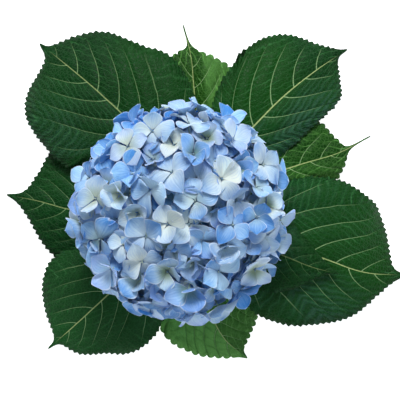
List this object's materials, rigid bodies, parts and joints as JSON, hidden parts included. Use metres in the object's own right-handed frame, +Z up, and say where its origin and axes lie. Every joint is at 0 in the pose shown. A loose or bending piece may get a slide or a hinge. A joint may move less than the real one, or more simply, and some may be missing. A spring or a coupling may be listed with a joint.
{
  "type": "cut hydrangea",
  "caption": "Cut mophead hydrangea: a dome of blue four-sepalled florets lying face up on a rosette of green serrated leaves.",
  "frame": {"origin": "centre of the bounding box in plan, on the surface that the leaf tips and the cut end of the stem rest on", "axes": "+Z up out of the middle of the bloom, +X towards the large right-hand leaf, +Y towards the small top leaf"},
  "size_m": [0.3046, 0.2522, 0.111],
  "materials": {
    "sepal": "matte",
    "leaf": "satin",
    "young_leaf": "satin",
    "ray": "matte",
    "stem": "satin"
  },
  "bodies": {
    "root": {"stem": "stem", "leaf_top_small": "young_leaf", "leaf_bottom_small": "young_leaf", "leaf_side_small": "young_leaf", "leaf_left": "leaf", "leaf_lower_left": "leaf", "leaf_upper_right": "leaf", "leaf_upper_left": "leaf", "leaf_right": "leaf", "leaf_inner": "leaf", "ray_1": "ray", "ray_2": "ray", "ray_3": "ray", "ray_4": "ray", "ray_5": "ray", "ray_6": "ray", "ray_7": "ray", "cyme_01": "sepal", "cyme_02": "sepal", "cyme_03": "sepal", "cyme_04": "sepal", "cyme_05": "sepal", "cyme_06": "sepal", "cyme_07": "sepal", "cyme_08": "sepal", "cyme_09": "sepal", "cyme_10": "sepal", "cyme_11": "sepal", "cyme_12": "sepal", "cyme_13": "sepal", "cyme_14": "sepal", "cyme_15": "sepal", "cyme_16": "sepal", "cyme_17": "sepal", "cyme_18": "sepal", "cyme_19": "sepal", "cyme_20": "sepal", "cyme_21": "sepal", "cyme_22": "sepal", "cyme_23": "sepal", "cyme_24": "sepal", "cyme_25": "sepal", "cyme_26": "sepal", "cyme_27": "sepal", "cyme_28": "sepal", "cyme_29": "sepal", "cyme_30": "sepal", "cyme_31": "sepal", "cyme_32": "sepal", "cyme_33": "sepal", "cyme_34": "sepal", "cyme_35": "sepal", "cyme_36": "sepal", "cyme_37": "sepal", "cyme_38": "sepal"}
  },
  "joints": []
}
